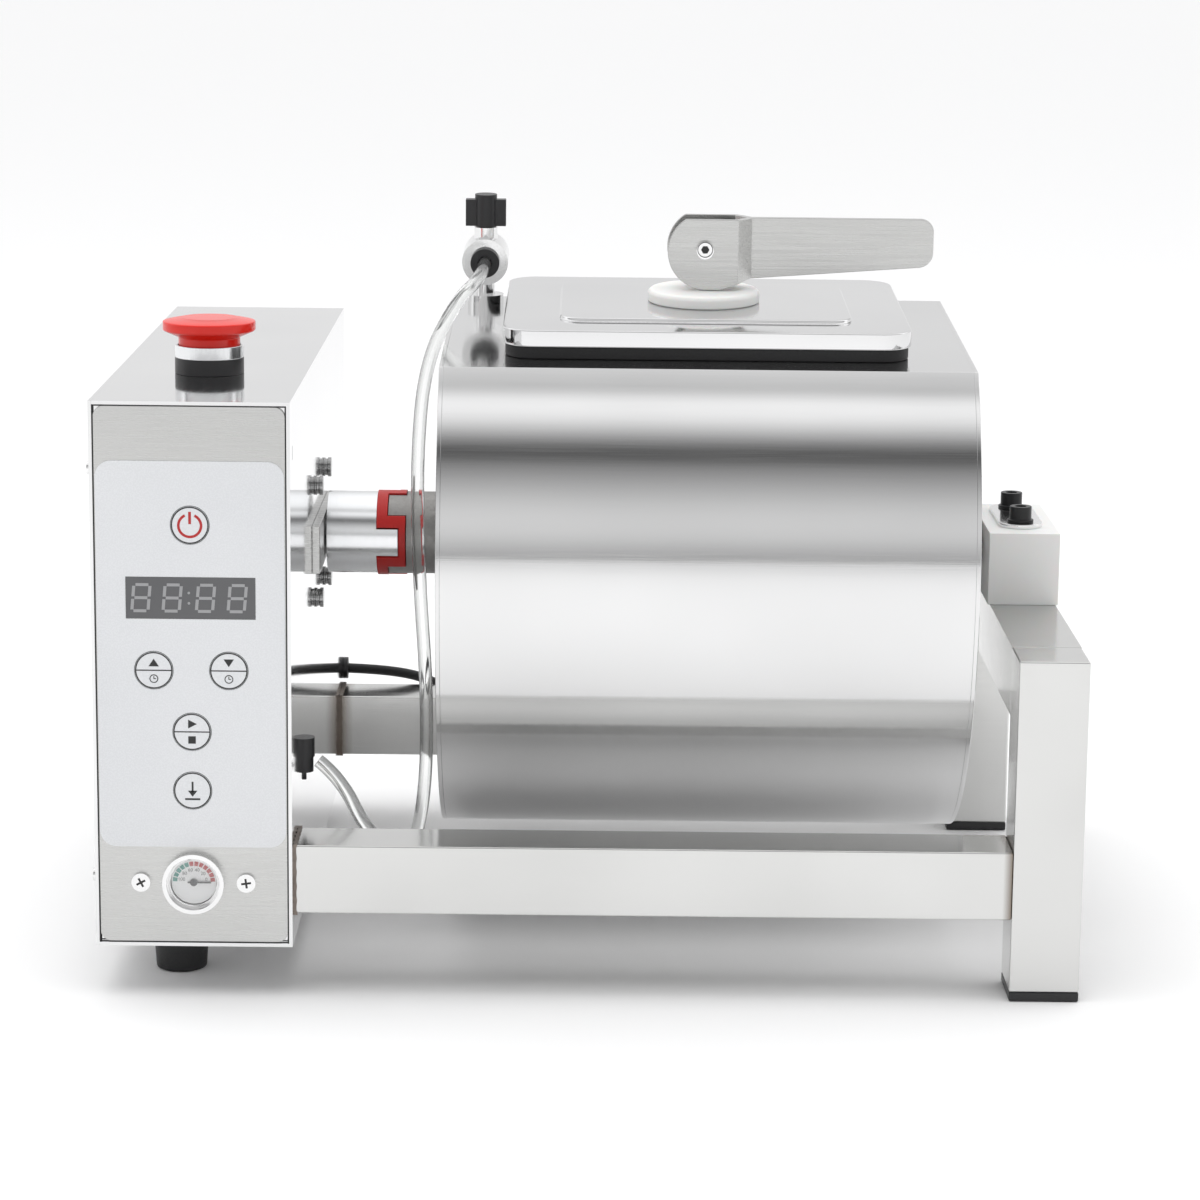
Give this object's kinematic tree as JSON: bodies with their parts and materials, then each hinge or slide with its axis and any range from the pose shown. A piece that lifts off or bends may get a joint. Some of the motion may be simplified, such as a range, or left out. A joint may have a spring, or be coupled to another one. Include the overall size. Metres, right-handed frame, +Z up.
{
  "type": "meat vacuum tumbler",
  "caption": "Table-top vacuum tumbler for marinating meat: a flat-topped steel drum with a clamped lid turns between a control box and a bearing frame.",
  "frame": {"origin": "on the floor, under the middle of the machine without its mains cord", "axes": "+X from the control box to the bearing frame along the drum axis, +Y from the key panel to the back, +Z up"},
  "size_m": [0.4239, 0.4393, 0.3247],
  "materials": {
    "polished_steel": "mirror polished stainless sheet",
    "satin_steel": "satin stainless sheet",
    "drum_steel": "polished rolled stainless sheet",
    "tube_steel": "polished stainless square tube",
    "bright_steel": "bright machined and plated steel",
    "cast_steel": "rough cast grey metal",
    "aluminium": "turned aluminium",
    "black_steel": "black oxide steel",
    "motor_grey": "painted motor and gearbox",
    "black_rubber": "matt black rubber",
    "black_plastic": "black plastic",
    "white_nylon": "white machined nylon",
    "red_plastic": "glossy red plastic",
    "red_rubber": "red elastomer",
    "clear_hose": "clear flexible tube",
    "lens": "clear lens",
    "film_white": "white keypad film",
    "key_white": "white keypad film",
    "display_smoke": "smoked display window",
    "board_green": "circuit board with its switches and display",
    "dial_white": "printed dial",
    "needle_black": "black needle"
  },
  "bodies": {
    "machine": {"housing_shell": "polished_steel", "side_cover": "polished_steel", "side_cover_screws": "bright_steel", "front_panel": "satin_steel", "keypad_film": "film_white", "display_window": "display_smoke", "control_board": "board_green", "gauge_case": "bright_steel", "gauge_dial": "dial_white", "gauge_lens": "lens", "gauge_screws": "bright_steel", "estop_collar": "black_plastic", "estop_ring": "aluminium", "estop_contacts": "black_plastic", "gearmotor": "motor_grey", "motor_bolts": "bright_steel", "shaft_plate": "satin_steel", "front_rail": "tube_steel", "rear_rail": "tube_steel", "front_post": "tube_steel", "rear_post": "tube_steel", "top_beam": "tube_steel", "post_end_caps": "black_plastic", "bearing_block": "white_nylon", "bearing_strap": "bright_steel", "bearing_screws": "black_steel", "rubber_feet": "black_rubber", "vacuum_pump": "black_plastic", "hose_port": "black_plastic", "vacuum_hose": "clear_hose", "cord_bushing": "black_plastic", "mains_cord": "black_rubber", "cord_coil": "black_rubber", "mains_plug": "black_plastic"},
    "drum": {"drum_hub": "cast_steel", "drum_shell": "drum_steel", "drum_end_plates": "drum_steel", "drum_paddle": "drum_steel", "mouth_neck": "drum_steel", "lid_gasket": "black_rubber", "drum_journal": "satin_steel", "valve_body": "bright_steel", "hose_collet": "black_plastic"},
    "drive": {"drive_hub": "aluminium", "coupling_spider": "red_rubber"},
    "lid": {"lid_tray": "polished_steel", "lid_pad": "white_nylon", "lid_seal": "black_rubber"},
    "clamp_stud": {"lid_stud": "bright_steel", "lever_pin": "bright_steel"},
    "clamp_lever": {"lid_lever": "satin_steel"},
    "valve_grip": {"valve_handle": "black_plastic"},
    "stop_stem": {"estop_stem": "black_plastic"},
    "stop_head": {"estop_head": "red_plastic"},
    "power_key": {"key_power": "key_white"},
    "time_up_key": {"key_time_up": "key_white"},
    "time_down_key": {"key_time_down": "key_white"},
    "start_stop_key": {"key_start_stop": "key_white"},
    "vacuum_key": {"key_vacuum": "key_white"},
    "dial_needle": {"gauge_needle": "needle_black"}
  },
  "joints": [
    {"name": "drum_spin", "type": "hinge", "parent": "machine", "child": "drum", "pos_m": [0, 0.001, 0.173], "axis": [1, 0, 0], "continuous": true, "deforming": ["vacuum_hose"]},
    {"name": "drive_spin", "type": "hinge", "parent": "machine", "child": "drive", "pos_m": [0, 0.001, 0.173], "axis": [1, 0, 0], "continuous": true},
    {"name": "lid_lift", "type": "slide", "parent": "drum", "child": "lid", "axis": [0, -0.0523, 0.9986], "range_m": [0, 0.12]},
    {"name": "stud_drop", "type": "slide", "parent": "lid", "child": "clamp_stud", "axis": [0, 0.0523, -0.9986], "range_m": [0, 0.0015]},
    {"name": "lever_lift", "type": "hinge", "parent": "clamp_stud", "child": "clamp_lever", "pos_m": [0.0495, -0.00604, 0.30742], "axis": [0, -0.9986, -0.0523], "range_deg": [0, 90]},
    {"name": "valve_turn", "type": "hinge", "parent": "drum", "child": "valve_grip", "pos_m": [-0.052, 0.06394, 0.30948], "axis": [0, -0.0523, 0.9986], "range_deg": [0, 90]},
    {"name": "stop_press", "type": "slide", "parent": "machine", "child": "stop_stem", "axis": [0, 0, -1], "range_m": [0, 0.003]},
    {"name": "stop_twist", "type": "hinge", "parent": "stop_stem", "child": "stop_head", "pos_m": [-0.169, -0.074, 0.257], "axis": [0, 0, -1], "range_deg": [0, 30], "stiffness_Nm_per_rad": 0.05},
    {"name": "power_press", "type": "slide", "parent": "machine", "child": "power_key", "axis": [0, 1, 0], "range_m": [0, 0.0004], "stiffness_N_per_m": 1500},
    {"name": "time_up_press", "type": "slide", "parent": "machine", "child": "time_up_key", "axis": [0, 1, 0], "range_m": [0, 0.0004], "stiffness_N_per_m": 1500},
    {"name": "time_down_press", "type": "slide", "parent": "machine", "child": "time_down_key", "axis": [0, 1, 0], "range_m": [0, 0.0004], "stiffness_N_per_m": 1500},
    {"name": "start_stop_press", "type": "slide", "parent": "machine", "child": "start_stop_key", "axis": [0, 1, 0], "range_m": [0, 0.0004], "stiffness_N_per_m": 1500},
    {"name": "vacuum_press", "type": "slide", "parent": "machine", "child": "vacuum_key", "axis": [0, 1, 0], "range_m": [0, 0.0004], "stiffness_N_per_m": 1500},
    {"name": "needle_turn", "type": "hinge", "parent": "machine", "child": "dial_needle", "pos_m": [-0.1685, -0.1635, 0.0503], "axis": [0, -1, 0], "range_deg": [0, 180], "stiffness_Nm_per_rad": 0.0001}
  ],
  "couplings": [
    {"joint": "drive_spin", "follows": "drum_spin", "ratio": 1},
    {"joint": "stud_drop", "follows": "lever_lift", "m_per_rad": 0.00095492}
  ]
}
